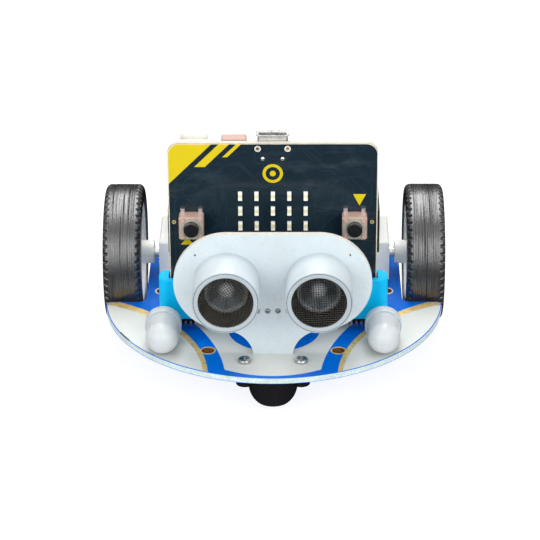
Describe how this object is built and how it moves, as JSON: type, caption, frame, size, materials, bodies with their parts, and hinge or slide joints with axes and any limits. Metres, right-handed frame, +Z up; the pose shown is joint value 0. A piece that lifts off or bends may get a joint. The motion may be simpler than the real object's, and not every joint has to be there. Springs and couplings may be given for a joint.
{
  "type": "educational coding robot",
  "caption": "Two-wheeled coding robot on a round circuit board, with an upright plug-in control card, two-eyed ultrasonic face, headlights, geared motors, battery holder and ball caster.",
  "frame": {"origin": "on the floor under the centre of the round main board", "axes": "+Z up, the robot faces -Y, +X along the axles towards its own left-hand wheel"},
  "size_m": [0.0878, 0.0864, 0.0634],
  "materials": {
    "ball_black": "polished",
    "black_plastic": "moulded",
    "board_blue": "glossy solder mask",
    "board_white": "satin white solder mask",
    "can_aluminium": "satin",
    "card_dark": "glossy solder mask",
    "cell_silver": "printed jacket",
    "chip_black": "moulded epoxy",
    "cyan_plastic": "smooth moulded",
    "frosted_white": "frosted",
    "gold_metal": "plated",
    "holder_black": "moulded",
    "light_white": "translucent",
    "mesh_metal": "woven",
    "solder_metal": "tinned",
    "steel": "plated",
    "switch_pink": "moulded",
    "switch_plate": "stamped",
    "tyre_rubber": "brushed rubber",
    "white_plastic": "moulded"
  },
  "bodies": {
    "chassis": {"battery_cells": "cell_silver", "battery_contacts": "steel", "battery_holder": "holder_black", "battery_socket": "white_plastic", "bracket_screws": "steel", "button_bases": "switch_pink", "button_covers": "switch_plate", "button_leads": "solder_metal", "buzzer": "black_plastic", "card_chips": "chip_black", "caster_housing": "black_plastic", "caster_screws": "steel", "connector_base": "black_plastic", "connector_contacts": "solder_metal", "control_card": "card_dark", "display_lights": "light_white", "edge_connector": "cyan_plastic", "gearbox_left": "gold_metal", "gearbox_right": "gold_metal", "headlight_leads": "solder_metal", "headlight_left": "frosted_white", "headlight_right": "frosted_white", "infrared_receiver": "black_plastic", "line_sensors": "black_plastic", "main_board": "board_blue", "main_chips": "chip_black", "motor_bracket_left": "white_plastic", "motor_bracket_right": "white_plastic", "motor_left": "steel", "motor_right": "steel", "power_switch": "steel", "reset_switch": "switch_pink", "servo_header": "black_plastic", "sonar_board": "board_white", "sonar_can_left": "can_aluminium", "sonar_can_right": "can_aluminium", "sonar_chips": "chip_black", "sonar_cones": "can_aluminium", "sonar_meshes": "mesh_metal", "sonar_pins": "solder_metal", "underside_lights": "light_white", "usb_socket": "steel", "usb_tongue": "black_plastic"},
    "left_wheel": {"tyre_left": "tyre_rubber", "wheel_rim_left": "white_plastic", "wheel_shaft_left": "steel", "output_gear_left": "gold_metal"},
    "right_wheel": {"tyre_right": "tyre_rubber", "wheel_rim_right": "white_plastic", "wheel_shaft_right": "steel", "output_gear_right": "gold_metal"},
    "left_idler": {"idler_gear_left": "gold_metal"},
    "right_idler": {"idler_gear_right": "gold_metal"},
    "left_pinion": {"motor_pinion_left": "gold_metal"},
    "right_pinion": {"motor_pinion_right": "gold_metal"},
    "caster_ball": {"caster_ball": "ball_black"},
    "button_a": {"button_a": "black_plastic"},
    "button_b": {"button_b": "black_plastic"},
    "reset_button": {"reset_button": "black_plastic"},
    "power_slider": {"power_slider": "black_plastic"}
  },
  "joints": [
    {"name": "left_wheel_spin", "type": "hinge", "parent": "chassis", "child": "left_wheel", "pos_m": [0.039, 0.015, 0.0178], "axis": [1, 0, 0], "continuous": true},
    {"name": "left_idler_spin", "type": "hinge", "parent": "chassis", "child": "left_idler", "pos_m": [0.024, 0.01825, 0.0178], "axis": [1, 0, 0], "continuous": true},
    {"name": "left_pinion_spin", "type": "hinge", "parent": "chassis", "child": "left_pinion", "pos_m": [0.0225, 0.015, 0.0178], "axis": [1, 0, 0], "continuous": true},
    {"name": "right_wheel_spin", "type": "hinge", "parent": "chassis", "child": "right_wheel", "pos_m": [-0.039, 0.015, 0.0178], "axis": [1, 0, 0], "continuous": true},
    {"name": "right_idler_spin", "type": "hinge", "parent": "chassis", "child": "right_idler", "pos_m": [-0.024, 0.01825, 0.0178], "axis": [1, 0, 0], "continuous": true},
    {"name": "right_pinion_spin", "type": "hinge", "parent": "chassis", "child": "right_pinion", "pos_m": [-0.0225, 0.015, 0.0178], "axis": [1, 0, 0], "continuous": true},
    {"name": "caster_roll", "type": "hinge", "parent": "chassis", "child": "caster_ball", "pos_m": [0, -0.0349, 0.00475], "axis": [1, 0, 0], "continuous": true},
    {"name": "button_a_press", "type": "slide", "parent": "chassis", "child": "button_a", "axis": [0, 1, 0], "range_m": [0, 0.00025], "stiffness_N_per_m": 800, "springref_m": -0.0006},
    {"name": "button_b_press", "type": "slide", "parent": "chassis", "child": "button_b", "axis": [0, 1, 0], "range_m": [0, 0.00025], "stiffness_N_per_m": 800, "springref_m": -0.0006},
    {"name": "reset_press", "type": "slide", "parent": "chassis", "child": "reset_button", "axis": [0, -1, 0], "range_m": [0, 0.00025], "stiffness_N_per_m": 800, "springref_m": -0.0006},
    {"name": "power_slide", "type": "slide", "parent": "chassis", "child": "power_slider", "axis": [1, 0, 0], "range_m": [0, 0.002]}
  ],
  "couplings": [
    {"joint": "left_idler_spin", "follows": "left_wheel_spin", "ratio": -1.8889},
    {"joint": "left_pinion_spin", "follows": "left_wheel_spin", "ratio": 3.5679},
    {"joint": "right_idler_spin", "follows": "right_wheel_spin", "ratio": -1.8889},
    {"joint": "right_pinion_spin", "follows": "right_wheel_spin", "ratio": 3.5679}
  ]
}
